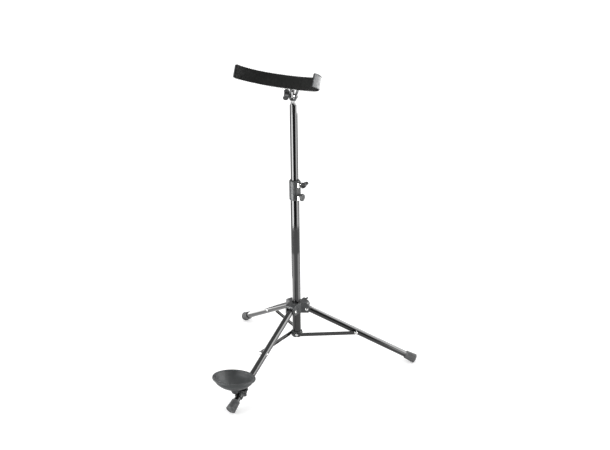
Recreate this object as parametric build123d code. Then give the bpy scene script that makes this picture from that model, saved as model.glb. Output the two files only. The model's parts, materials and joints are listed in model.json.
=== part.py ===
from build123d import *
import math
import os

# Folding tripod stand for a saxophone. Millimetres, +Z up, floor at z = 0.
# Everything is drawn with the column axis on Z and moved along Y when it is written out.
# The front leg, which carries the cup, points along -Y.

# ---- driving dimensions ----
LEG_ANGLES = (0, 120, 240)         # 0 is the front leg (-Y), 120 is towards +X
LEG_NAMES = ("f", "r", "b")
COLUMN_R = 11.0                    # lower tube outside radius
COLUMN_WALL = 1.2
COLUMN_Z0 = 79.5
COLUMN_Z1 = 484.0
MAST_R = 9.5                       # upper tube outside radius
MAST_WALL = 1.2
MAST_Z0 = 280.0
MAST_PINCH_Z0 = 698.0              # the round tube starts to flatten here
MAST_PINCH_Z1 = 707.5
TONGUE_T = 5.0                     # thickness of the flattened end
TONGUE_TOP = 13.0                  # height of the flattened end above the tilt bolt
LEG_R = 8.0
LEG_WALL = 1.0
HUB_Z = 159.5                      # height of the leg pivots
HUB_PIVOT_R = 26.7                 # distance of the leg pivots from the column axis
HUB_Z0 = 150.0
HUB_Z1 = 177.0
HUB_R = 35.0
HUB_ARM_Y = 14.0                   # half the width of each arm, over both cheeks
HUB_SCREW_Z = 167.0
HUB_WING_Y = 30.0
LEG_DROP = 27.73                   # leg angle below horizontal, degrees
LEG_RIVET_X = 144.9                # leg pivot to strut rivet
FOOT_X0 = 293.0
FOOT_X1 = 322.0
STRUT_Z = 86.9                     # height of the strut pivots
STRUT_RISE = 1.92                  # strut angle above horizontal, degrees
STRUT_LEN = 155.1
STRUT_Y = 13.3                     # inner face of the strut web, from the leg's middle plane
STRUT_T = 1.2
STRUT_H = 8.8
BRACKET_R = 13.0                   # base bracket, outside
BRACKET_Z1 = 94.5
PIN_R = 3.0                        # clamp screws and the two tilting bolts
HINGE_R = 2.5                      # pins that the legs and struts fold on
RIVET_R = 2.5                      # rivets through the legs
HEAD_R = 3.6                       # rivet and pin heads
PIN_CLEAR = 0.06
COLLAR_Z0 = 456.5
COLLAR_Z1 = 508.5
COLLAR_R = 13.75
HEIGHT_SCREW_Z = 498.5              # upper screw, which holds the mast's height
COLLAR_SCREW_Z = 464.8              # lower screw, which holds the collar on the lower tube
BOSS_R = 5.9                        # screw bosses on the collar
BOSS_X = 17.4                       # face of the bosses
WING_X = 21.0                       # foot of the height wing
KNOB_X = 18.7                       # foot of the collar knob
TILT_Z = 722.0                     # tilt bolt height
HEAD_TILT = -21.4                  # about +X: the front of the rest is raised
BAND_Y = -8.5                      # outer face of the band's middle, in the tilted frame
BAND_Z0 = 14.1
BAND_H = 30.4
BAND_T = 2.5
BAND_R_MID = 170.0                 # middle of the band
BAND_R_END = 85.0                  # arms of the band
BAND_S_MID = 53.6                  # arc length of half the middle
BAND_S_END = 115.9                 # arc length of each arm
PAD_T = 3.6
CUP_Y = -291.5                     # centre of the cup's rim
CUP_Z = 91.1
CUP_LEAN = -8.2                    # about +X: the cup's axis leans towards the column
CUP_R = 52.6
CUP_NECK_R = 49.0                  # the bowl just under its overhanging lip
CUP_NECK_Z = -4.6
CUP_BOTTOM = -31.6                 # underside of the bowl, below its rim plane
STEM_Y = 7.1                       # the boss stands this far from the cup's axis, towards the column
CLAMP_X = 270.4                    # cup hinge along the front leg, from the leg pivot
CLAMP_N = 14.9                     # cup hinge above the leg's centre line
SHIFT_Y = 88.1                     # moves the finished parts so that the origin is the box's centre


# ---- helpers ----
def rod_x(radius, x0, x1):
    return Pos((x0 + x1) / 2, 0, 0) * Rot(0, 90, 0) * Cylinder(radius, x1 - x0)


def rod_y(radius, y0, y1):
    return Pos(0, (y0 + y1) / 2, 0) * Rot(90, 0, 0) * Cylinder(radius, y1 - y0)


def rod_z(radius, z0, z1):
    return Pos(0, 0, (z0 + z1) / 2) * Cylinder(radius, z1 - z0)


def slab(x0, x1, y0, y1, z0, z1):
    return Pos((x0 + x1) / 2, (y0 + y1) / 2, (z0 + z1) / 2) * Box(x1 - x0, y1 - y0, z1 - z0)


def turned(points):
    """Solid of revolution about Z from (radius, height) points."""
    outline = Polyline(*[(r, 0, z) for r, z in points], close=True)
    return revolve(make_face(outline), Axis.Z)


def dome_head(radius, height):
    """Rivet head standing on z = 0."""
    rise = height * 0.35
    pts = [(0, 0), (radius, 0), (radius, rise)]
    for i in range(1, 6):
        a = math.radians(90 * i / 6)
        pts.append((radius * math.cos(a), rise + (height - rise) * math.sin(a)))
    pts.append((0, height))
    return turned(pts)


def headed_pin(shank_r, shank_len, head_r, head_h):
    """Pin from z = 0 up to its head, which stands on z = shank_len."""
    pts = [(0, 0), (shank_r, 0), (shank_r, shank_len), (head_r, shank_len)]
    for i in range(1, 6):
        a = math.radians(90 * i / 6)
        pts.append((head_r * math.cos(a), shank_len + head_h * (0.35 + 0.65 * math.sin(a))))
    pts.append((0, shank_len + head_h))
    return turned(pts)


def direction(angle):
    a = math.radians(angle)
    return Vector(math.sin(a), -math.cos(a), 0)


def leg_frame(angle, along=0.0):
    """x runs down the leg from the hub pivot, y is level, z is square to the leg."""
    d = direction(angle)
    b = math.radians(LEG_DROP)
    x = d * math.cos(b) - Vector(0, 0, 1) * math.sin(b)
    z = d * math.sin(b) + Vector(0, 0, 1) * math.cos(b)
    origin = d * HUB_PIVOT_R + Vector(0, 0, HUB_Z) + x * along
    return Plane(origin=origin, x_dir=x, z_dir=z).location


def strut_frame(angle):
    d = direction(angle)
    b = math.radians(STRUT_RISE)
    x = d * math.cos(b) + Vector(0, 0, 1) * math.sin(b)
    z = Vector(0, 0, 1) * math.cos(b) - d * math.sin(b)
    return Plane(origin=(0, 0, STRUT_Z), x_dir=x, z_dir=z).location


def level_frame(angle, z):
    return Plane(origin=(0, 0, z), x_dir=direction(angle), z_dir=(0, 0, 1)).location


def wing(span, reach, hub_len):
    """Wing grip: axis on Z, its foot at z = 0, lobes along X."""
    w = span / 2
    pts = [(-4, 1), (-w + 4, 2), (-w, 6), (-w, reach - 4), (-w + 4, reach), (-6, reach - 1)]
    pts += [(0, reach - 3), (6, reach - 1), (w - 4, reach), (w, reach - 4), (w, 6), (w - 4, 2), (4, 1)]
    outline = Polyline(*[(x, 0, z) for x, z in pts], close=True)
    lobes = extrude(make_face(outline), 1.9, both=True)
    return lobes + rod_z(5.5, 0, hub_len)


# ---- column ----
def lower_tube():
    return rod_z(COLUMN_R, COLUMN_Z0, COLUMN_Z1) - rod_z(COLUMN_R - COLUMN_WALL, COLUMN_Z0 - 1, COLUMN_Z1 + 1)


def column_plug():
    cap = rod_z(COLUMN_R - COLUMN_WALL - 0.02, COLUMN_Z0, COLUMN_Z0 + 12)
    return chamfer(cap.edges().group_by(Axis.Z)[0], 1.0)


def base_bracket():
    body = rod_z(BRACKET_R, COLUMN_Z0, BRACKET_Z1)
    for a in LEG_ANGLES:
        ear = level_frame(a, 0) * slab(-7, 7, -BRACKET_R, -8, COLUMN_Z0, BRACKET_Z1)
        body = body + ear
    body = body - rod_z(COLUMN_R + 0.02, 70, 100)
    for a in LEG_ANGLES:
        body = body - strut_frame(a) * rod_y(HINGE_R, -20, -5)
    return body


def base_rivets():
    """The three shoulder rivets that the struts turn on."""
    rivets = []
    for a in LEG_ANGLES:
        rivet = Pos(0, -11.15, 0) * Rot(90, 0, 0) * Rot(0, 0, 17) * headed_pin(HINGE_R, 3.65, HEAD_R, 1.7)
        rivets.append(strut_frame(a) * rivet)
    return Compound(children=rivets)


def collar():
    body = rod_z(COLLAR_R, COLLAR_Z0, COLLAR_Z1)
    body = chamfer(body.edges().group_by(Axis.Z)[-1], 2.4)
    body = fillet(body.edges().group_by(Axis.Z)[0], 1.5)
    rib = slab(8, 16.6, -3.6, 3.6, COLLAR_SCREW_Z, COLLAR_Z1 + 1.2)
    rib = fillet(rib.edges().filter_by(Axis.Z).group_by(Axis.X)[-1], 2.5)
    rib = chamfer(rib.edges().group_by(Axis.Z)[-1], 1.6)
    body = body + rib
    for z in (HEIGHT_SCREW_Z, COLLAR_SCREW_Z):
        body = body + Pos(0, 0, z) * rod_x(BOSS_R, 8, BOSS_X)
    body = body - rod_z(COLUMN_R + 0.02, COLLAR_Z0 - 1, COLUMN_Z1 + 0.5)
    body = body - rod_z(MAST_R + 0.1, COLUMN_Z1, COLLAR_Z1 + 3)
    for z in (HEIGHT_SCREW_Z, COLLAR_SCREW_Z):
        body = body - Pos(0, 0, z) * rod_x(PIN_R + PIN_CLEAR, 0, 30)
        body = body - nut_seat(z)
    return body


def nut_seat(z):
    """Square nut in a slot of the boss. One corner stands out at the front, below the screw."""
    return Pos(0, 0, z) * slab(12.6, 16.4, -6.8, 3.4, -6.8, 3.4)


def clamp_nuts():
    nuts = []
    for z in (HEIGHT_SCREW_Z, COLLAR_SCREW_Z):
        nuts.append(nut_seat(z) - Pos(0, 0, z) * rod_x(PIN_R + PIN_CLEAR, 0, 30))
    return Compound(children=nuts)


def height_stud():
    return Pos(0, 0, HEIGHT_SCREW_Z) * rod_x(PIN_R, MAST_R + 0.35, WING_X + 8)


def height_wing():
    frame = Plane(origin=(WING_X, 0, HEIGHT_SCREW_Z), x_dir=(0, 0.96, 0.28), z_dir=(1, 0, 0)).location
    body = frame * wing(27, 14, 11)
    return body - Pos(0, 0, HEIGHT_SCREW_Z) * rod_x(PIN_R, 10, WING_X + 8)


def collar_screw():
    return Pos(0, 0, COLLAR_SCREW_Z) * rod_x(PIN_R, COLUMN_R + 0.35, KNOB_X + 3.7)


def collar_knob():
    disc = rod_z(9.6, 0, 6.0)
    disc = fillet(disc.edges(), 1.6)
    disc = disc + rod_z(5.2, -1.2, 1)
    for i in range(12):
        disc = disc - Rot(0, 0, 30 * i) * Pos(10.6, 0, 3) * Cylinder(1.7, 8)
    knob = Plane(origin=(KNOB_X, 0, COLLAR_SCREW_Z), x_dir=(0, 1, 0), z_dir=(1, 0, 0)).location * disc
    return knob - Pos(0, 0, COLLAR_SCREW_Z) * rod_x(PIN_R, 10, KNOB_X + 3.7)


# ---- hub ----
def hub_screw_frame():
    """z runs out along the hub's clamp screw, which points to +Y."""
    return Plane(origin=(0, 0, HUB_SCREW_Z), x_dir=(1, 0, 0), z_dir=(0, 1, 0)).location


def hub():
    profile = [(0, HUB_Z0), (HUB_R - 1, HUB_Z0), (HUB_R, HUB_Z0 + 1.5), (HUB_R, HUB_Z1 - 6)]
    profile += [(HUB_R - 1.4, HUB_Z1 - 2.6), (HUB_R - 5, HUB_Z1 - 0.6), (HUB_R - 9, HUB_Z1), (0, HUB_Z1)]
    arms = rod_z(18.5, HUB_Z0, HUB_Z1)
    for a in LEG_ANGLES:
        arms = arms + level_frame(a, 0) * slab(0, 40, -HUB_ARM_Y, HUB_ARM_Y, HUB_Z0, HUB_Z1)
    body = arms & turned(profile)
    body = body + hub_screw_frame() * rod_z(6.6, 10, 25)
    for a in LEG_ANGLES:
        body = body - level_frame(a, 0) * slab(18.2, 45, -8.4, 8.4, 140, 168.4)
        body = body - level_frame(a, HUB_Z) * Pos(HUB_PIVOT_R, 0, 0) * rod_y(HINGE_R, -20, 20)
    body = body - rod_z(COLUMN_R + 0.06, 140, 180)
    return body - hub_screw_frame() * rod_z(PIN_R + PIN_CLEAR, 5, 30)


def hub_pins():
    """The front pin's head is on its +X end, the others' on their -X or column-front end."""
    pins = []
    for a in LEG_ANGLES:
        side = 1 if a == 0 else -1
        end = HUB_ARM_Y + 0.1
        pin = rod_y(HINGE_R, -end - 0.1, end + 0.1)
        pin = pin + Pos(0, side * end, 0) * Rot(-90 * side, 0, 0) * dome_head(HEAD_R, 1.6)
        pin = pin + Pos(0, -side * end, 0) * Rot(90 * side, 0, 0) * dome_head(HINGE_R + 0.3, 0.5)
        pins.append(level_frame(a, HUB_Z) * Pos(HUB_PIVOT_R, 0, 0) * pin)
    return Compound(children=pins)


def hub_stud():
    return hub_screw_frame() * rod_z(PIN_R, COLUMN_R + 0.35, HUB_WING_Y + 8)


def hub_wing():
    frame = Plane(origin=(0, HUB_WING_Y, HUB_SCREW_Z), x_dir=(0.85, 0, 0.53), z_dir=(0, 1, 0)).location
    return frame * wing(27, 15, 11) - hub_screw_frame() * rod_z(PIN_R, 10, HUB_WING_Y + 8)


# ---- legs ----
def leg_tube(angle):
    body = rod_x(LEG_R, 10, FOOT_X1 - 3) - rod_x(LEG_R - LEG_WALL, 0, FOOT_X1)
    body = body - Pos(LEG_RIVET_X, 0, 0) * rod_y(RIVET_R, -20, 20)
    return leg_frame(angle) * body


def leg_top(angle):
    body = Sphere(LEG_R) + rod_x(LEG_R, 0, 10) + rod_x(LEG_R - LEG_WALL - 0.02, 10, 32)
    body = body - rod_y(HINGE_R + PIN_CLEAR, -20, 20)
    return leg_frame(angle) * body


def leg_rivet(angle):
    shank = rod_y(RIVET_R, -7.9, 8.0)
    head = Pos(0, 7.7, 0) * Rot(-90, 0, 0) * dome_head(HEAD_R + 0.4, 2.0)
    return leg_frame(angle, LEG_RIVET_X) * (shank + (head - rod_x(LEG_R, -20, 20)))


def foot(angle):
    length = FOOT_X1 - FOOT_X0
    pts = [(LEG_R, 0), (9.4, 0), (9.9, 0.8), (9.9, 2.4), (9.3, 3.2), (9.9, 4.0), (10.1, 6.0)]
    pts += [(12.1, length - 4), (12.5, length - 2.6), (12.0, length - 0.6), (11.0, length)]
    pts += [(8.6, length), (8.0, length - 1.6), (6.6, length - 1.6), (6.0, length), (0, length)]
    pts += [(0, length - 3), (LEG_R, length - 3)]
    body = Pos(FOOT_X0, 0, 0) * Rot(0, 90, 0) * turned(pts)
    placed = leg_frame(angle) * body
    return placed & slab(-500, 500, -500, 500, 0, 500)


# ---- struts ----
def strut(angle):
    y0 = -STRUT_Y - STRUT_T
    web = slab(0, STRUT_LEN, y0, -STRUT_Y, -STRUT_H / 2, STRUT_H / 2)
    web = web + rod_y(STRUT_H / 2, y0, -STRUT_Y)
    web = web + Pos(STRUT_LEN, 0, 0) * rod_y(STRUT_H / 2, y0, -STRUT_Y)
    for side in (-1, 1):
        edge = side * (STRUT_H / 2 - STRUT_T / 2)
        web = web + slab(13, STRUT_LEN - 12, -STRUT_Y - 0.2, -11.5, edge - 0.6, edge + 0.6)
    web = web - rod_y(HINGE_R + PIN_CLEAR, -20, 0)
    web = web - Pos(STRUT_LEN, 0, 0) * rod_y(RIVET_R, -20, 0)
    return strut_frame(angle) * web


def strut_rivet(angle):
    """Rivet and its spacer. It stops just short of the leg, where the linkage is opened."""
    shank = rod_y(RIVET_R, -STRUT_Y - STRUT_T - 0.1, -STRUT_Y + 1)
    spacer = rod_y(4.2, -STRUT_Y, -LEG_R - 0.4)
    head = Pos(0, -STRUT_Y - STRUT_T, 0) * Rot(90, 0, 0) * dome_head(4.4, 2.0)
    return strut_frame(angle) * Pos(STRUT_LEN, 0, 0) * (shank + spacer + head)


# ---- mast ----
def mast_plug():
    """Guide bush at the foot of the upper tube: it slides in the lower tube and the mast turns on it."""
    disc = rod_z(COLUMN_R - COLUMN_WALL - 0.06, MAST_Z0 - 12, MAST_Z0 - 0.3)
    return disc + rod_z(MAST_R - MAST_WALL - 0.06, MAST_Z0 - 1, MAST_Z0 + 24)


def upper_tube():
    round_end = Plane(origin=(0, 0, MAST_PINCH_Z0), x_dir=(1, 0, 0), z_dir=(0, 0, 1))
    flat_end = Plane(origin=(0, 0, MAST_PINCH_Z1), x_dir=(1, 0, 0), z_dir=(0, 0, 1))
    pinch = loft([round_end * Circle(MAST_R), flat_end * Ellipse(TONGUE_T / 2 + 0.3, 10.5)])
    tube = rod_z(MAST_R, MAST_Z0, MAST_PINCH_Z0) - rod_z(MAST_R - MAST_WALL, MAST_Z0 - 1, MAST_PINCH_Z0 - 3)
    h = TONGUE_T / 2
    top = TILT_Z + TONGUE_TOP
    right = [(9.8, MAST_PINCH_Z1 - 3), (9.2, MAST_PINCH_Z1 + 3.5), (6.8, TILT_Z - 4), (5.4, top - 3), (3.4, top)]
    left = [(-y, z) for y, z in reversed(right)]
    outline = Polyline(*[(0, y, z) for y, z in right + left], close=True)
    tongue = extrude(make_face(outline), h, both=True)
    body = tube + pinch + tongue
    return body - Pos(0, 0, TILT_Z) * rod_x(PIN_R, -20, 20)


def tilt_bolt():
    bolt = rod_x(PIN_R, -24, 9.6)
    head = Plane(origin=(9.4, 0, 0), x_dir=(0, 1, 0), z_dir=(1, 0, 0)).location * dome_head(5.2, 2.6)
    return Pos(0, 0, TILT_Z) * (bolt + head)


def tilt_spacers():
    """Two plain sleeves on the tilt bolt, one each side of the flattened tube end."""
    body = rod_x(4.9, TONGUE_T / 2 + 0.02, 6.65) + rod_x(4.9, -6.65, -TONGUE_T / 2 - 0.02)
    return Pos(0, 0, TILT_Z) * (body - rod_x(PIN_R, -20, 20))


def tilt_wing():
    frame = Plane(origin=(-9.4, 0, TILT_Z), x_dir=(0, 0.34, 0.94), z_dir=(-1, 0, 0)).location
    hole = Pos(0, 0, TILT_Z) * rod_x(PIN_R + PIN_CLEAR, -40, 20)
    return frame * (Pos(0, 0, 1.6) * wing(27, 17, 13) + rod_z(5.0, 0, 3)) - hole


# ---- head, built level and then tilted about the tilt bolt ----
def head_frame():
    return Pos(0, 0, TILT_Z) * Rot(HEAD_TILT, 0, 0)


def band_path(offset):
    """Points along the band from -X to +X, moved inward from its outer face by offset."""
    pts = []
    for i in range(-12, 13):
        s = abs(i) / 12 * (BAND_S_MID + BAND_S_END)
        turn = min(s, BAND_S_MID) / BAND_R_MID
        x = (BAND_R_MID - offset) * math.sin(turn)
        y = BAND_R_MID - (BAND_R_MID - offset) * math.cos(turn)
        if s > BAND_S_MID:
            more = turn + (s - BAND_S_MID) / BAND_R_END
            r = BAND_R_END - offset
            x = x + r * (math.sin(more) - math.sin(turn))
            y = y + r * (math.cos(turn) - math.cos(more))
        pts.append((math.copysign(x, i), BAND_Y - y))
    pts[12] = (0.0, BAND_Y - offset)
    return pts


def band_sheet(near, far, z0, z1):
    """A curved strip between two offsets from the band's outer face."""
    outer = band_path(near)
    inner = band_path(far)
    a = Spline(*[(x, y, 0) for x, y in outer])
    b = Spline(*[(x, y, 0) for x, y in inner])
    c = Line((outer[0][0], outer[0][1], 0), (inner[0][0], inner[0][1], 0))
    d = Line((outer[-1][0], outer[-1][1], 0), (inner[-1][0], inner[-1][1], 0))
    face = make_face([a, b, c, d])
    return Pos(0, 0, z0) * extrude(face, z1 - z0, dir=(0, 0, 1))


def rest_band():
    body = band_sheet(0, BAND_T, BAND_Z0, BAND_Z0 + BAND_H)
    for x in (-5, 5):
        body = body - Pos(x, 0, BAND_Z0 + 19) * rod_y(2.0, BAND_Y - 5, BAND_Y + 5)
    return head_frame() * body


def rest_pad():
    body = band_sheet(BAND_T + 0.02, BAND_T + PAD_T, BAND_Z0, BAND_Z0 + BAND_H)
    for x in (-5, 5):
        body = body - Pos(x, 0, BAND_Z0 + 19) * rod_y(3.5, BAND_Y - BAND_T - 1.8, BAND_Y)
    return head_frame() * body


def yoke():
    """One bent strip: two bowed ears for the bolt, closed over the top, with a tab up the band's back."""
    line = [(4.0, -12.5), (5.9, -9.4), (7.4, -6.8), (8.0, -4.4), (8.0, 0.0), (8.0, 4.4), (8.5, 7.6)]
    line += [(9.0, 11.0), (9.0, 14.6), (8.2, 18.2), (6.2, 21.2), (3.4, 23.4), (0, 24.4)]
    mid = [(x, 0, z) for x, z in line] + [(-x, 0, z) for x, z in reversed(line[:-1])]
    inner = offset_spline(mid, -1.0)
    outer = offset_spline(mid, 1.0)
    a = Spline(*inner)
    b = Spline(*outer)
    c = Line(inner[0], outer[0])
    d = Line(inner[-1], outer[-1])
    strap = extrude(make_face([a, b, c, d]), 4.7, both=True)
    foot_tab = slab(-9, 9, BAND_Y + 0.3, -4.0, 22.0, 24.2)
    back_tab = slab(-9, 9, BAND_Y + 0.3, BAND_Y + 2.3, 22.0, 41.0)
    back_tab = fillet(back_tab.edges().filter_by(Axis.Y).group_by(Axis.Z)[-1], 3.0)
    body = strap + foot_tab + back_tab
    body = body - rod_x(PIN_R + PIN_CLEAR, -20, 20)
    for x in (-5, 5):
        body = body - Pos(x, 0, BAND_Z0 + 19) * rod_y(2.0, BAND_Y - 5, BAND_Y + 5)
    return head_frame() * body


def offset_spline(mid, distance):
    out = []
    for i in range(len(mid)):
        p = mid[max(i - 1, 0)]
        q = mid[min(i + 1, len(mid) - 1)]
        tx, tz = q[0] - p[0], q[2] - p[2]
        n = math.hypot(tx, tz)
        out.append((mid[i][0] + tz / n * distance, 0, mid[i][2] - tx / n * distance))
    return out


def band_rivets():
    rivets = []
    for x in (-5, 5):
        shank = rod_y(2.0, BAND_Y - BAND_T - 0.3, BAND_Y + 2.4)
        inside = Pos(0, BAND_Y - BAND_T - 0.25, 0) * Rot(90, 0, 0) * dome_head(3.3, 1.3)
        outside = Pos(0, BAND_Y + 2.3, 0) * Rot(-90, 0, 0) * dome_head(3.3, 1.4)
        rivets.append(head_frame() * Pos(x, 0, BAND_Z0 + 19) * (shank + inside + outside))
    return Compound(children=rivets)


# ---- cup ----
def cup_frame():
    return Pos(0, CUP_Y, CUP_Z) * Rot(CUP_LEAN, 0, 0)


def cup_outside():
    """Outer half-section of the bowl, from its rim to the middle of its underside."""
    pts = [(CUP_NECK_R, CUP_NECK_Z), (46.9, -9.5), (40.8, -16.5), (32, -22.5), (21.5, -27.4), (11, -30.5)]
    pts.append((0, CUP_BOTTOM))
    return Spline(*[(x, 0, z) for x, z in pts], tangents=((-0.3, 0, -1), (-1, 0, 0)))


def cup_bowl():
    r = CUP_R
    inside = [(0, CUP_BOTTOM + 3), (11, -27.4), (21, -24), (31, -18.5), (39, -12.2), (44.5, -5), (46.6, -1.4)]
    rim = [(46.6, -1.4), (47.6, -0.2), (49.5, 0.2), (r - 0.9, -0.3), (r, -1.6), (r, -3.6), (r - 0.7, -4.5)]
    rim.append((CUP_NECK_R, CUP_NECK_Z))
    inner = Spline(*[(x, 0, z) for x, z in inside], tangents=((1, 0, 0), (0.35, 0, 1)))
    lip = Polyline(*[(x, 0, z) for x, z in rim])
    axis = Line((0, 0, CUP_BOTTOM), (0, 0, CUP_BOTTOM + 3))
    body = revolve(make_face([cup_outside(), axis, inner, lip]), Axis.Z)
    return cup_frame() * body


def cup_filled():
    top = Polyline((0, 0, CUP_BOTTOM), (0, 0, 5), (CUP_R, 0, 5), (CUP_NECK_R, 0, CUP_NECK_Z))
    return cup_frame() * revolve(make_face([cup_outside(), top]), Axis.Z)


def cup_stem():
    """Flared boss under the bowl, with a neck that ends in the eye of the cup's hinge."""
    hinge = leg_frame(0, CLAMP_X) * Pos(0, 0, CLAMP_N)
    profile = [(0, -24), (14.0, -24), (13.4, -29), (11.8, -32), (10.3, -35.5), (9.0, -39)]
    profile += [(7.2, -42.5), (4.6, -45), (0, -46)]
    boss = cup_frame() * Pos(0, STEM_Y, 0) * turned(profile)
    eye = hinge.position
    root = (cup_frame() * Pos(0, STEM_Y, -39)).position
    span = (root - eye).length
    neck = Plane(origin=eye, x_dir=(1, 0, 0), z_dir=root - eye).location * slab(-4, 4, -6.2, 6.2, 0, span)
    body = boss - cup_filled()
    body = body + neck + hinge * rod_y(6.4, -4.0, 4.0)
    return body - hinge * rod_y(PIN_R + PIN_CLEAR, -30, 30)


def cup_clamp():
    ring = rod_x(10.5, -13, 11.5)
    ring = ring + slab(-7.2, 7.2, -8.6, 8.6, 0, CLAMP_N)
    ring = ring + Pos(0, 0, CLAMP_N) * rod_y(7.2, -8.6, 8.6)
    ring = ring - slab(-20, 20, -4.4, 4.4, 0, 40)
    ring = ring - rod_x(LEG_R + 0.06, -20, 20)
    ring = ring - Pos(0, 0, CLAMP_N) * rod_y(PIN_R, -30, 30)
    return leg_frame(0, CLAMP_X) * ring


def cup_bolt():
    """Front leg frame: y runs towards +X."""
    bolt = rod_y(PIN_R, -8.6, 21.0)
    head = Pos(0, -8.6, 0) * Rot(90, 0, 0) * dome_head(5.2, 3.0)
    return leg_frame(0, CLAMP_X) * Pos(0, 0, CLAMP_N) * (bolt + head)


def cup_wing():
    hinge = leg_frame(0, CLAMP_X) * Pos(0, 0, CLAMP_N)
    start = hinge.position
    frame = Plane(origin=(start.X + 8.9, start.Y, start.Z), x_dir=(0, 0.5, 0.866), z_dir=(1, 0, 0)).location
    return frame * wing(23, 16, 12) - hinge * rod_y(PIN_R + PIN_CLEAR, -40, 40)


def main():
    os.makedirs("parts", exist_ok=True)
    nodes = {
        "lower_tube": lower_tube(),
        "column_plug": column_plug(),
        "base_bracket": base_bracket(),
        "base_rivets": base_rivets(),
        "collar": collar(),
        "clamp_nuts": clamp_nuts(),
        "height_stud": height_stud(),
        "height_wing": height_wing(),
        "collar_screw": collar_screw(),
        "collar_knob": collar_knob(),
        "hub": hub(),
        "hub_pins": hub_pins(),
        "hub_stud": hub_stud(),
        "hub_wing": hub_wing(),
        "mast_plug": mast_plug(),
        "upper_tube": upper_tube(),
        "tilt_bolt": tilt_bolt(),
        "tilt_spacers": tilt_spacers(),
        "tilt_wing": tilt_wing(),
        "yoke": yoke(),
        "rest_band": rest_band(),
        "rest_pad": rest_pad(),
        "band_rivets": band_rivets(),
        "cup_bowl": cup_bowl(),
        "cup_stem": cup_stem(),
        "cup_clamp": cup_clamp(),
        "cup_bolt": cup_bolt(),
        "cup_wing": cup_wing(),
    }
    for name, angle in zip(LEG_NAMES, LEG_ANGLES):
        nodes["leg_tube_" + name] = leg_tube(angle)
        nodes["leg_top_" + name] = leg_top(angle)
        nodes["leg_rivet_" + name] = leg_rivet(angle)
        nodes["foot_" + name] = foot(angle)
        nodes["strut_" + name] = strut(angle)
        nodes["strut_rivet_" + name] = strut_rivet(angle)
    for name, shape in nodes.items():
        export_step(Pos(0, SHIFT_Y, 0) * shape, "parts/" + name + ".step")


main()
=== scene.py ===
import bpy
import bmesh
import json
import math
import random
from mathutils import Matrix, Vector, noise


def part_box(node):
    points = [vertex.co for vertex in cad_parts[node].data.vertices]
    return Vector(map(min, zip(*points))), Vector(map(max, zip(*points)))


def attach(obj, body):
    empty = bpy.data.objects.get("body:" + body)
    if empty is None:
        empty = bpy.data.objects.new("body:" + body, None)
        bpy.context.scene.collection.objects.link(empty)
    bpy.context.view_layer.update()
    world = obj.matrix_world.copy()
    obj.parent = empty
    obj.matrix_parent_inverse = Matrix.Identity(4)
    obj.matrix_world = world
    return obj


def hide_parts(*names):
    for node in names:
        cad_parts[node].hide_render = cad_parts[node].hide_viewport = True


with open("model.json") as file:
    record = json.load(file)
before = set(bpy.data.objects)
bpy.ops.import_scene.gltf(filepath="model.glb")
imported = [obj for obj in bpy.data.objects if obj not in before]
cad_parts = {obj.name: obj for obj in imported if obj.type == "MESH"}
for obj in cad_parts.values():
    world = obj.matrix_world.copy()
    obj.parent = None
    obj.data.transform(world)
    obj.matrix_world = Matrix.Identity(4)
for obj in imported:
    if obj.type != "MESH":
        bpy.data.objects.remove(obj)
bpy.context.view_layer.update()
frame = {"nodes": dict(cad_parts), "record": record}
nodes = frame["nodes"]
record = frame["record"]
bodies = record["behaviour"]["bodies"]
BODY_OF = {node: body for body, names in bodies.items() for node in names}
SLOT_OF = {part["node"]: part["material_slot"] for part in record["subparts"]}
TILT_Z = 0.722                  # height of the tilt bolt
SHADE_FLARE_X = -0.004                # the left sleeve is flared from here to the tongue: painted shade, a black cone where it meets the tongue
SHADE_FLARE = 1.65
LEG_DROP = math.radians(27.73)  # slope of the legs, below level
tube_low, tube_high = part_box("lower_tube")
COLUMN_Y = (tube_low[1] + tube_high[1]) / 2


# ---------- materials ----------
def new_material(name):
    m = bpy.data.materials.new(name)
    m.use_nodes = True
    return m, m.node_tree, m.node_tree.nodes["Principled BSDF"]


def noise_node(tree, scale, detail=4.0, stretch=(1, 1, 1)):
    coords = tree.nodes.new("ShaderNodeTexCoord")
    mapping = tree.nodes.new("ShaderNodeMapping")
    mapping.inputs["Scale"].default_value = stretch
    tree.links.new(coords.outputs["Object"], mapping.inputs["Vector"])
    tex = tree.nodes.new("ShaderNodeTexNoise")
    tex.inputs["Scale"].default_value = scale
    tex.inputs["Detail"].default_value = detail
    tree.links.new(mapping.outputs["Vector"], tex.inputs["Vector"])
    return tex.outputs["Fac"]


def two_tone(tree, shader, factor, dark, light, start=0.3, stop=0.7):
    ramp = tree.nodes.new("ShaderNodeValToRGB")
    ramp.color_ramp.elements[0].position = start
    ramp.color_ramp.elements[1].position = stop
    ramp.color_ramp.elements[0].color = (*dark, 1)
    ramp.color_ramp.elements[1].color = (*light, 1)
    tree.links.new(factor, ramp.inputs["Fac"])
    tree.links.new(ramp.outputs["Color"], shader.inputs["Base Color"])


def roughness(tree, shader, factor, low, high):
    spread = tree.nodes.new("ShaderNodeMapRange")
    spread.inputs["From Min"].default_value = 0.3
    spread.inputs["From Max"].default_value = 0.7
    spread.inputs["To Min"].default_value = low
    spread.inputs["To Max"].default_value = high
    tree.links.new(factor, spread.inputs["Value"])
    tree.links.new(spread.outputs["Result"], shader.inputs["Roughness"])


def bump(tree, shader, factor, depth, strength=1.0, under=None):
    b = tree.nodes.new("ShaderNodeBump")
    b.inputs["Strength"].default_value = strength
    b.inputs["Distance"].default_value = depth
    tree.links.new(factor, b.inputs["Height"])
    if under:
        tree.links.new(under.outputs["Normal"], b.inputs["Normal"])
    tree.links.new(b.outputs["Normal"], shader.inputs["Normal"])
    return b


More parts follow.
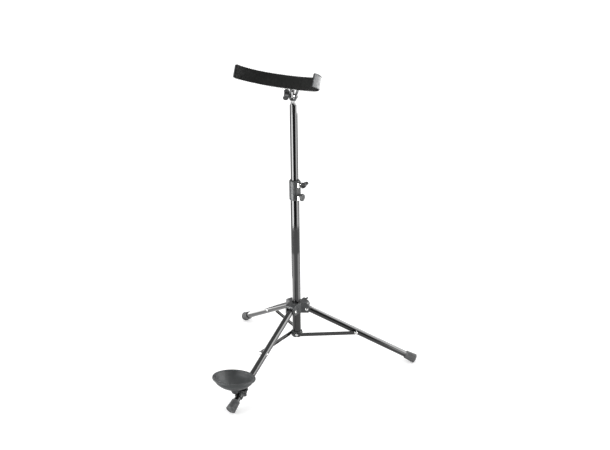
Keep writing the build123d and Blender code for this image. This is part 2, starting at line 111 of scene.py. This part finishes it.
def lacquer():
    """Stoved gloss lacquer: a faint orange peel, dust and rub marks."""
    m, tree, shader = new_material("gloss_lacquer")
    rub = noise_node(tree, 30, 6.0, (1, 1, 0.25))
    two_tone(tree, shader, rub, (0.0035, 0.0035, 0.0038), (0.0075, 0.0078, 0.0080))
    roughness(tree, shader, rub, 0.05, 0.10)
    bump(tree, shader, noise_node(tree, 260, 2.0), 0.00002, 0.03)
    shader.inputs["Coat Weight"].default_value = 0.08
    shader.inputs["Coat Roughness"].default_value = 0.05
    return m


def plastic(name, dark, light, rough, grain=1800.0, depth=0.00004, level=0.5):
    """Moulded plastic with spark-eroded grain and handling marks."""
    m, tree, shader = new_material(name)
    marks = noise_node(tree, 60, 5.0)
    two_tone(tree, shader, marks, dark, light)
    roughness(tree, shader, marks, rough - 0.06, rough + 0.08)
    coarse = bump(tree, shader, noise_node(tree, grain / 4, 2.0), depth, 0.5)
    bump(tree, shader, noise_node(tree, grain, 3.0), depth, 0.8, coarse)
    shader.inputs["Specular IOR Level"].default_value = level
    return m


def rubber():
    m, tree, shader = new_material("foot_rubber")
    dust = noise_node(tree, 90, 6.0)
    two_tone(tree, shader, dust, (0.030, 0.031, 0.032), (0.062, 0.063, 0.064))
    roughness(tree, shader, dust, 0.48, 0.66)
    bump(tree, shader, noise_node(tree, 1500, 4.0), 0.00006, 0.8)
    return m


def zinc():
    """Bright plate with a fine brushed grain and cloudy patches."""
    m, tree, shader = new_material("zinc_plate")
    cloud = noise_node(tree, 160, 4.0)
    two_tone(tree, shader, cloud, (0.34, 0.34, 0.34), (0.62, 0.62, 0.61))
    roughness(tree, shader, cloud, 0.16, 0.30)
    bump(tree, shader, noise_node(tree, 900, 2.0, (1, 1, 6)), 0.00003, 0.5)
    shader.inputs["Metallic"].default_value = 1.0
    return m


def hammered_paint():
    """Satin paint on strip steel, with a soft hammered texture and rubbed patches."""
    m, tree, shader = new_material("hammered_paint")
    coords = tree.nodes.new("ShaderNodeTexCoord")
    cells = tree.nodes.new("ShaderNodeTexVoronoi")
    cells.inputs["Scale"].default_value = 230
    cells.feature = "SMOOTH_F1"
    tree.links.new(coords.outputs["Object"], cells.inputs["Vector"])
    wear = noise_node(tree, 45, 6.0)
    two_tone(tree, shader, wear, (0.028, 0.030, 0.031), (0.066, 0.069, 0.072))
    roughness(tree, shader, wear, 0.36, 0.52)
    dents = bump(tree, shader, cells.outputs["Distance"], 0.0006, 0.7)
    bump(tree, shader, noise_node(tree, 1400, 3.0), 0.00004, 0.6, dents)
    shader.inputs["Specular IOR Level"].default_value = 0.16
    return m


def velour():
    """Short-pile cloth: matt, with fibres, pressed patches and a faint sheen."""
    m, tree, shader = new_material("black_velour")
    pressed = noise_node(tree, 55, 5.0)
    two_tone(tree, shader, pressed, (0.0045, 0.0048, 0.0045), (0.0100, 0.0104, 0.0098))
    roughness(tree, shader, pressed, 0.88, 1.0)
    pile = bump(tree, shader, noise_node(tree, 420, 4.0), 0.0004, 0.5)
    bump(tree, shader, noise_node(tree, 2600, 3.0), 0.0002, 0.9, pile)
    shader.inputs["Specular IOR Level"].default_value = 0.12
    shader.inputs["Sheen Weight"].default_value = 0.02
    shader.inputs["Sheen Roughness"].default_value = 0.6
    return m


def thread():
    m, tree, shader = new_material("black_thread")
    twist = noise_node(tree, 1800, 2.0)
    two_tone(tree, shader, twist, (0.004, 0.004, 0.004), (0.014, 0.014, 0.014))
    roughness(tree, shader, twist, 0.75, 0.95)
    bump(tree, shader, twist, 0.0002, 0.8)
    shader.inputs["Specular IOR Level"].default_value = 0.2
    return m


MATERIAL = {
    "lacquer": lacquer(),
    "grey_plastic": plastic(
        "grey_plastic", (0.018, 0.020, 0.021), (0.032, 0.034, 0.035), 0.40, level=0.42
    ),
    "black_plastic": plastic("black_plastic", (0.010, 0.010, 0.011), (0.018, 0.018, 0.019), 0.42),
    "rubber": rubber(),
    "zinc": zinc(),
    "grey_paint": hammered_paint(),
    "black_fastener": plastic(
        "black_oxide", (0.008, 0.008, 0.009), (0.020, 0.020, 0.021), 0.30, 1200.0
    ),
    "pad_cloth": velour(),
}
CUP_PLASTIC = plastic(
    "cup_plastic", (0.035, 0.038, 0.039), (0.048, 0.051, 0.052), 0.46, 1500.0, 0.00002, 0.20
)
WING_PLASTIC = plastic(
    "wing_plastic", (0.014, 0.015, 0.016), (0.026, 0.027, 0.028), 0.42, level=0.22
)
THREAD = thread()


def shade_smooth(obj, sharp=32):
    for face in obj.data.polygons:
        face.use_smooth = True
    obj.data.set_sharp_from_angle(angle=math.radians(sharp))


def dress(obj, material):
    obj.data.materials.clear()
    obj.data.materials.append(material)


for name, slot in SLOT_OF.items():
    dress(nodes[name], MATERIAL[slot])
    shade_smooth(nodes[name])
dress(nodes["cup_bowl"], CUP_PLASTIC)


# ---------- pieces ----------
def add_mesh(name, bm):
    me = bpy.data.meshes.new(name)
    bm.normal_update()
    bm.to_mesh(me)
    bm.free()
    obj = bpy.data.objects.new(name, me)
    bpy.context.collection.objects.link(obj)
    return obj


def stand_for(obj, node, material=None):
    """obj takes a CAD node's body and finish, and is shown in its place."""
    dress(obj, material or MATERIAL[SLOT_OF[node]])
    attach(obj, BODY_OF[node])
    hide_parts(node)


def moulded(node, voxel, passes, material=None):
    """A CAD node remade with the softened edges of a moulding or casting."""
    obj = bpy.data.objects.new(node + "_moulded", nodes[node].data.copy())
    bpy.context.collection.objects.link(obj)
    remesh = obj.modifiers.new("skin", "REMESH")
    remesh.mode = "VOXEL"
    remesh.voxel_size = voxel
    soft = obj.modifiers.new("soft", "SMOOTH")
    soft.factor = 0.5
    soft.iterations = passes
    deps = bpy.context.evaluated_depsgraph_get()
    made = bpy.data.meshes.new_from_object(obj.evaluated_get(deps))
    obj.modifiers.clear()
    obj.data = made
    for face in made.polygons:
        face.use_smooth = True
    stand_for(obj, node, material)
    return obj


for node in ("height_wing", "hub_wing", "tilt_wing", "cup_wing"):
    moulded(node, 0.00040, 10, WING_PLASTIC)
moulded("collar_knob", 0.00040, 8)
moulded("cup_stem", 0.00045, 14)
moulded("cup_clamp", 0.00045, 7)
moulded("hub", 0.00060, 4)
moulded("collar", 0.00045, 4)
moulded("base_bracket", 0.00045, 4)
moulded("yoke", 0.00035, 5)


def tilt_sleeves():
    """The right sleeve as it is, and the left one black and flared where it meets the tongue:
    painted shade, a dark shape standing for the shadow on the yoke's left side, not the sleeve's
    own finish.
    """
    obj = bpy.data.objects.new("tilt_sleeves", nodes["tilt_spacers"].data.copy())
    bpy.context.collection.objects.link(obj)
    stand_for(obj, "tilt_spacers")
    # painted shade: the left sleeve gets black in place of the sleeve's own finish
    obj.data.materials.append(MATERIAL["black_fastener"])
    for face in obj.data.polygons:
        if face.center.x < 0:
            face.material_index = 1
    # painted shade: the black left sleeve is widened into a cone where it meets the tongue
    for vertex in obj.data.vertices:
        if SHADE_FLARE_X < vertex.co.x < 0:
            vertex.co.y = COLUMN_Y + (vertex.co.y - COLUMN_Y) * SHADE_FLARE
            vertex.co.z = TILT_Z + (vertex.co.z - TILT_Z) * SHADE_FLARE


tilt_sleeves()


# ---------- feet ----------
RIB_START, RIB_PITCH, RIB_DEPTH = 0.0040, 0.0019, 0.00045
FOOT_TURNS = 64


def ribbed_foot(node, tube):
    """Tapered rubber foot with fine rings round it and a worn flat where it meets the floor."""
    source = nodes[node].data
    low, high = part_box(tube)
    middle = Vector([(a + b) / 2 for a, b in zip(low, high)])
    out = Vector((middle.x, middle.y - COLUMN_Y, 0)).normalized()
    axis = Vector((out.x * math.cos(LEG_DROP), out.y * math.cos(LEG_DROP), -math.sin(LEG_DROP)))
    along = [(v.co - middle).dot(axis) for v in source.vertices]
    start, end = min(along), max(along)
    length = end - start
    side = Vector((-axis.y, axis.x, 0)).normalized()
    up = side.cross(axis)
    profile = [(0.0, 0.0081), (0.0002, 0.0098), (0.0010, 0.0107), (0.0030, 0.0108)]
    x = RIB_START
    while x < length - 0.0050:
        r = 0.0106 + (x - RIB_START) / (length - 0.0080) * 0.0016
        profile += [(x, r - RIB_DEPTH), (x + 0.0003, r)]
        profile += [(x + 0.0011, r + 0.0001), (x + 0.0014, r - RIB_DEPTH)]
        x += RIB_PITCH
    sole = [(0.0040, 0.0120), (0.0026, 0.0125), (0.0010, 0.0122), (0.0001, 0.0112), (0.0, 0.0102)]
    sole += [(0.0004, 0.0088), (0.0016, 0.0080), (0.0016, 0.0068), (0.0006, 0.0062)]
    sole += [(0.0003, 0.0050), (0.0003, 0.0)]
    profile += [(length - back, r) for back, r in sole]
    bm = bmesh.new()
    rings = []
    turns = FOOT_TURNS
    for x, r in profile:
        ring = []
        for i in range(turns):
            a = 2 * math.pi * i / turns
            outward = side * math.cos(a) + up * math.sin(a)
            p = middle + axis * (start + x) + outward * max(r, 0.0002)
            p.z = max(p.z, 0.0)
            ring.append(bm.verts.new(p))
        rings.append(ring)
    for a, b in zip(rings, rings[1:]):
        for i in range(turns):
            bm.faces.new((a[i], b[i], b[(i + 1) % turns], a[(i + 1) % turns]))
    bm.faces.new(rings[-1])
    bm.faces.new(list(reversed(rings[0])))
    bmesh.ops.recalc_face_normals(bm, faces=bm.faces)
    obj = add_mesh(node + "_ribbed", bm)
    shade_smooth(obj, 60)
    stand_for(obj, node)


for letter in "frb":
    ribbed_foot("foot_" + letter, "leg_tube_" + letter)


# ---------- padded rest ----------
joint = {j["name"]: j for j in record["behaviour"]["joints"]}["head_tilt"]
TILT = -math.radians(joint["range_deg"][1])      # the rest stands tilted back by its upper limit
HEAD = Matrix.Translation(Vector(joint["pos_m"])) @ Matrix.Rotation(TILT, 4, "X")
BAND_BACK = -0.0085            # outer face of the band's middle, from the tilt bolt
BAND_LOW, BAND_HIGH = 0.0141, 0.0445
RADIUS_MID, RADIUS_END = 0.170, 0.085
ARC_MID, ARC_END = 0.0536, 0.1159
BAND_THICK, PAD_THICK = 0.0025, 0.0036
STITCH_PITCH = 0.0058


def band_point(s, inward):
    """Point and inward direction at arc length s from the band's middle, in the head's frame."""
    far = abs(s)
    turn = min(far, ARC_MID) / RADIUS_MID
    x = RADIUS_MID * math.sin(turn)
    y = RADIUS_MID * (1 - math.cos(turn))
    if far > ARC_MID:
        more = turn + (far - ARC_MID) / RADIUS_END
        x += RADIUS_END * (math.sin(more) - math.sin(turn))
        y += RADIUS_END * (math.cos(turn) - math.cos(more))
        turn = more
    sign = 1 if s >= 0 else -1
    inside = Vector((-sign * math.sin(turn), -math.cos(turn), 0))
    return Vector((sign * x, BAND_BACK - y, 0)) + inside * inward, inside


def pad_section(count):
    """Rounded section: (height, thickness) from its middle."""
    pts = []
    half_h, half_t = (BAND_HIGH - BAND_LOW) / 2, PAD_THICK / 2
    for i in range(count):
        a = 2 * math.pi * i / count
        c, s = math.cos(a), math.sin(a)
        v = half_h * math.copysign(abs(c) ** 0.16, c)
        t = half_t * math.copysign(abs(s) ** 0.55, s)
        pts.append((v, t))
    return pts


def rest_pad():
    """The cloth lining: a strip a little taller than the band, with nibbled edges and soft ends."""
    bm = bmesh.new()
    middle_z = (BAND_LOW + BAND_HIGH) / 2
    half = (BAND_HIGH - BAND_LOW) / 2
    reach = ARC_MID + ARC_END - 0.0006
    steps, count = 460, 56
    section = pad_section(count)
    rings = []
    for k in range(steps + 1):
        s = -reach + 2 * reach * k / steps
        end = min(1.0, (reach - abs(s)) / 0.0022)
        shrink = math.sqrt(max(1 - (1 - end) ** 2, 0.02))
        scallop = 0.5 + 0.5 * math.cos(2 * math.pi * s / STITCH_PITCH)
        ring = []
        for v, t in section:
            edge = abs(v) / half
            height = v * (1.035 + 0.022 * scallop) if edge > 0.9 else v * 1.035
            height *= 0.94 + 0.06 * shrink
            fullness = 0.93 if t < 0 else 0.97 - 0.10 * edge ** 4
            depth = BAND_THICK + 0.0001 + PAD_THICK / 2 + t * shrink * fullness
            p, inside = band_point(s, depth)
            p.z = middle_z + height
            fuzz = noise.noise(p * 700) * 0.00012 + noise.noise(p * 160) * 0.00018
            if t > -PAD_THICK * 0.3:
                p += inside * (fuzz - 0.00025)
            if edge > 0.9:
                p.z += math.copysign(min(fuzz, 0.0001), v)
            ring.append(bm.verts.new(HEAD @ p))
        rings.append(ring)
    for a, b in zip(rings, rings[1:]):
        for i in range(count):
            bm.faces.new((a[i], a[(i + 1) % count], b[(i + 1) % count], b[i]))
    bm.faces.new(rings[0])
    bm.faces.new(list(reversed(rings[-1])))
    bmesh.ops.recalc_face_normals(bm, faces=bm.faces)
    obj = add_mesh("rest_pad_cloth", bm)
    for face in obj.data.polygons:
        face.use_smooth = True
    stand_for(obj, "rest_pad")


def tube_along(bm, points, radius, around=8):
    """A closed round tube through the points."""
    rings = []
    x = (points[1] - points[0]).orthogonal()
    for i, p in enumerate(points):
        ahead = points[min(i + 1, len(points) - 1)] - points[max(i - 1, 0)]
        z = ahead.normalized()
        x = (x - z * x.dot(z)).normalized()
        y = z.cross(x)
        turn = [2 * math.pi * j / around for j in range(around)]
        rings.append([bm.verts.new(p + (x * math.cos(a) + y * math.sin(a)) * radius) for a in turn])
    for a, b in zip(rings, rings[1:]):
        for j in range(around):
            bm.faces.new((a[j], a[(j + 1) % around], b[(j + 1) % around], b[j]))
    bm.faces.new(list(reversed(rings[0])))
    bm.faces.new(rings[-1])


def edge_stitches():
    """Whipped thread along both edges of the pad, holding the cloth round the strip."""
    random.seed(7)
    bm = bmesh.new()
    reach = ARC_MID + ARC_END - 0.004
    count = int(2 * reach / STITCH_PITCH)
    span = BAND_THICK + PAD_THICK
    for side in (-1, 1):
        edge = BAND_HIGH if side > 0 else BAND_LOW
        for k in range(count + 1):
            s = -reach + 2 * reach * k / count + random.uniform(-0.0004, 0.0004)
            lean = random.uniform(0.0012, 0.0024)
            loop = []
            for i in range(11):
                a = math.pi * (i / 10)
                across = 0.5 - 0.5 * math.cos(a)
                lift = math.sin(a) * 0.0007
                drop = (1 - math.sin(a)) * 0.0026
                inward = span + 0.0001 - (span + 0.0002) * across
                p, _ = band_point(s + lean * (across - 0.5), inward)
                p.z = edge + side * (lift - drop + 0.0009)
                loop.append(HEAD @ p)
            tube_along(bm, loop, 0.00042)
    bmesh.ops.recalc_face_normals(bm, faces=bm.faces)
    obj = add_mesh("rest_pad_stitches", bm)
    for face in obj.data.polygons:
        face.use_smooth = True
    dress(obj, THREAD)
    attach(obj, BODY_OF["rest_pad"])


rest_pad()
edge_stitches()


# ---------- stage ----------
def plane_mesh(name, size, z):
    bm = bmesh.new()
    s = size / 2
    bm.faces.new([bm.verts.new(p) for p in ((-s, -s, z), (s, -s, z), (s, s, z), (-s, s, z))])
    return add_mesh(name, bm)


def pale_floor():
    floor = plane_mesh("floor", 60.0, 0.0)
    m, tree, shader = new_material("floor")
    two_tone(tree, shader, noise_node(tree, 3.0), (0.90, 0.90, 0.90), (0.93, 0.93, 0.93))
    shader.inputs["Roughness"].default_value = 1.0
    shader.inputs["Specular IOR Level"].default_value = 0.0
    shader.inputs["Emission Color"].default_value = (1, 1, 1, 1)
    shader.inputs["Emission Strength"].default_value = 0.30
    dress(floor, m)


AZ, EL = math.radians(31.66), math.radians(20.74)     # the direction the stand is seen from


def card_material(name, stops):
    """Emission by direction round the column, where 0 degrees is AZ. A level under 0 is clear."""
    m = bpy.data.materials.new(name)
    m.use_nodes = True
    tree = m.node_tree
    tree.nodes.clear()

    def math_node(kind, first, second=None, third=None):
        n = tree.nodes.new("ShaderNodeMath")
        n.operation = kind
        for socket, value in zip(n.inputs, (first, second, third)):
            if value is None:
                continue
            if isinstance(value, (int, float)):
                socket.default_value = value
            else:
                tree.links.new(value, socket)
        return n.outputs[0]

    coords = tree.nodes.new("ShaderNodeTexCoord")
    split = tree.nodes.new("ShaderNodeSeparateXYZ")
    tree.links.new(coords.outputs["Object"], split.inputs[0])
    back = math_node("MULTIPLY", math_node("SUBTRACT", split.outputs["Y"], COLUMN_Y), -1.0)
    angle = math_node("SUBTRACT", math_node("ARCTAN2", split.outputs["X"], back), AZ)
    angle = math_node("WRAP", angle, math.pi, -math.pi)
    share = math_node("ADD", math_node("DIVIDE", angle, 2 * math.pi), 0.5)
    top = max(v for _, v in stops)

    def ramp(values):
        r = tree.nodes.new("ShaderNodeValToRGB")
        while len(r.color_ramp.elements) < len(stops):
            r.color_ramp.elements.new(0.5)
        for element, (degrees, _), v in zip(r.color_ramp.elements, stops, values):
            element.position = (degrees + 180) / 360
            element.color = (v, v, v, 1)
        tree.links.new(share, r.inputs["Fac"])
        return r.outputs["Color"]

    glow = tree.nodes.new("ShaderNodeEmission")
    tree.links.new(ramp([max(v, 0) / top for _, v in stops]), glow.inputs["Color"])
    glow.inputs["Strength"].default_value = top
    clear = tree.nodes.new("ShaderNodeBsdfTransparent")
    mix = tree.nodes.new("ShaderNodeMixShader")
    out = tree.nodes.new("ShaderNodeOutputMaterial")
    tree.links.new(ramp([0.0 if v < 0 else 1.0 for _, v in stops]), mix.inputs["Fac"])
    tree.links.new(clear.outputs[0], mix.inputs[1])
    tree.links.new(glow.outputs[0], mix.inputs[2])
    tree.links.new(mix.outputs[0], out.inputs["Surface"])
    return m


def card_ring(name, radius, low, high, stops):
    """A ring of studio cards that only shows in reflections."""
    bm = bmesh.new()
    n = 96
    turn = [2 * math.pi * i / n for i in range(n)]
    foot = [(radius * math.cos(a), radius * math.sin(a) + COLUMN_Y, low) for a in turn]
    bottom = [bm.verts.new(p) for p in foot]
    top = [bm.verts.new((v.co.x, v.co.y, high)) for v in bottom]
    for i in range(n):
        bm.faces.new((bottom[i], bottom[(i + 1) % n], top[(i + 1) % n], top[i]))
    ring = add_mesh(name, bm)
    dress(ring, card_material(name, stops))
    ring.visible_camera = False
    ring.visible_diffuse = False
    ring.visible_shadow = False
    ring.visible_transmission = False
    ring.visible_volume_scatter = False


OUTER_R, NEAR_R, FLOOR_GAP = 1.05, 0.42, 0.004
# (degrees, level) round the stand for each ring
LOW_CARDS = [(-180, 0.12), (-150, 0.3), (-95, 1.3), (-80, 2.2), (-74, 16.0), (-37, 16.0)]
LOW_CARDS += [(-31, 0.05), (42, 0.05), (50, 8.0), (98, 6.0), (106, 0.6), (140, 0.25), (180, 0.12)]
MIDDLE_CARDS = [(-180, 1.0), (-110, 1.2), (-80, 1.6), (-74, 13.0), (-42, 13.0), (-36, 0.2)]
MIDDLE_CARDS += [(40, 0.2), (58, 1.5), (66, 11.0), (100, 11.0), (108, 8.0), (150, 8.0)]
MIDDLE_CARDS += [(158, 0.5), (180, 0.5)]
HIGH_CARDS = [(-180, 0.6), (-74, 0.8), (-60, 1.0), (-36, 0.2), (58, 0.3), (66, 7.0), (100, 7.0)]
HIGH_CARDS += [(108, 10.0), (150, 10.0), (158, 0.6), (180, 0.6)]
TOP_CARDS = [(-180, 0.6), (60, 0.6), (90, 0.25), (160, 0.25), (180, 0.6)]
NEAR_CARDS = [(-180, 0.2), (-169, 0.4), (-163, 5.0), (-110, 5.0), (-96, 4.0), (-44, 4.0), (-38, -1)]
NEAR_CARDS += [(44, -1), (52, 4.5), (112, 4.0), (118, 0.3), (180, 0.2)]
UPPER_NEAR_CARDS = [(-180, 0.2), (-160, 0.5), (-130, 1.4), (-100, 2.6), (-96, 4.0), (-44, 4.0)]
UPPER_NEAR_CARDS += [(-38, -1), (44, -1), (52, 4.5), (112, 4.0), (118, 0.3), (180, 0.2)]
BACK_CARDS = [(-180, 0.2), (-130, 0.8), (-126, -1), (126, -1), (130, 0.3), (180, 0.2)]
pale_floor()
card_ring("low_cards", OUTER_R, FLOOR_GAP, 0.42, LOW_CARDS)
card_ring("middle_cards", OUTER_R, 0.42, 0.92, MIDDLE_CARDS)
card_ring("high_cards", OUTER_R, 0.92, 1.40, HIGH_CARDS)
card_ring("top_cards", OUTER_R, 1.40, 2.60, TOP_CARDS)
card_ring("near_cards", NEAR_R, FLOOR_GAP, 0.07, NEAR_CARDS)
card_ring("upper_near_cards", NEAR_R, 0.07, 0.15, UPPER_NEAR_CARDS)
card_ring("back_cards", NEAR_R, 0.15, 0.27, BACK_CARDS)


def studio_world():
    bpy.context.scene.view_settings.view_transform = "Standard"
    world = bpy.data.worlds.new("studio")
    bpy.context.scene.world = world
    world.use_nodes = True
    sky = world.node_tree.nodes["Background"]
    sky.inputs["Color"].default_value = (1, 1, 1, 1)
    sky.inputs["Strength"].default_value = 1.0


def softbox(name, location, target, size, power):
    light = bpy.data.lights.new(name, "AREA")
    light.shape = "RECTANGLE"
    light.size, light.size_y = size
    light.energy = power
    obj = bpy.data.objects.new(name, light)
    bpy.context.collection.objects.link(obj)
    obj.location = location
    obj.rotation_euler = (Vector(target) - Vector(location)).to_track_quat("-Z", "Y").to_euler()
    obj.visible_glossy = False
    obj.visible_camera = False


studio_world()
softbox("key", (-1.6, -1.6, 2.2), (0, 0.05, 0.4), (1.2, 1.2), 14)
softbox("fill", (2.6, -0.8, 1.6), (0, 0.05, 0.4), (1.4, 1.4), 10)


# ---------- camera ----------
CAMERA_DISTANCE, AIM_Z = 2.7148, 0.350
YAW, PITCH, ROLL = -0.0096, 0.0125, math.radians(-0.8552)
FOCAL, PICTURE_WIDTH = 1066.6, 610


def camera():
    back = Vector((math.sin(AZ) * math.cos(EL), -math.cos(AZ) * math.cos(EL), math.sin(EL)))
    right = Vector((math.cos(AZ), math.sin(AZ), 0))
    up = back.cross(right)
    place = Vector((0, COLUMN_Y, AIM_Z)) + back * CAMERA_DISTANCE
    for axis_name, angle in (("up", YAW), ("right", PITCH), ("back", ROLL)):
        axis = {"up": up, "right": right, "back": back}[axis_name]
        turn = Matrix.Rotation(angle, 3, axis)
        back, right, up = turn @ back, turn @ right, turn @ up
    cam = bpy.data.cameras.new("camera")
    cam.sensor_width = 36.0
    cam.lens = cam.sensor_width * FOCAL / PICTURE_WIDTH
    cam.shift_x = -0.5 / PICTURE_WIDTH
    cam.shift_y = 0.5 / PICTURE_WIDTH
    obj = bpy.data.objects.new("camera", cam)
    bpy.context.collection.objects.link(obj)
    placed = Matrix((right, up, back)).transposed().to_4x4()
    placed.translation = place
    obj.matrix_world = placed
    bpy.context.scene.camera = obj


camera()
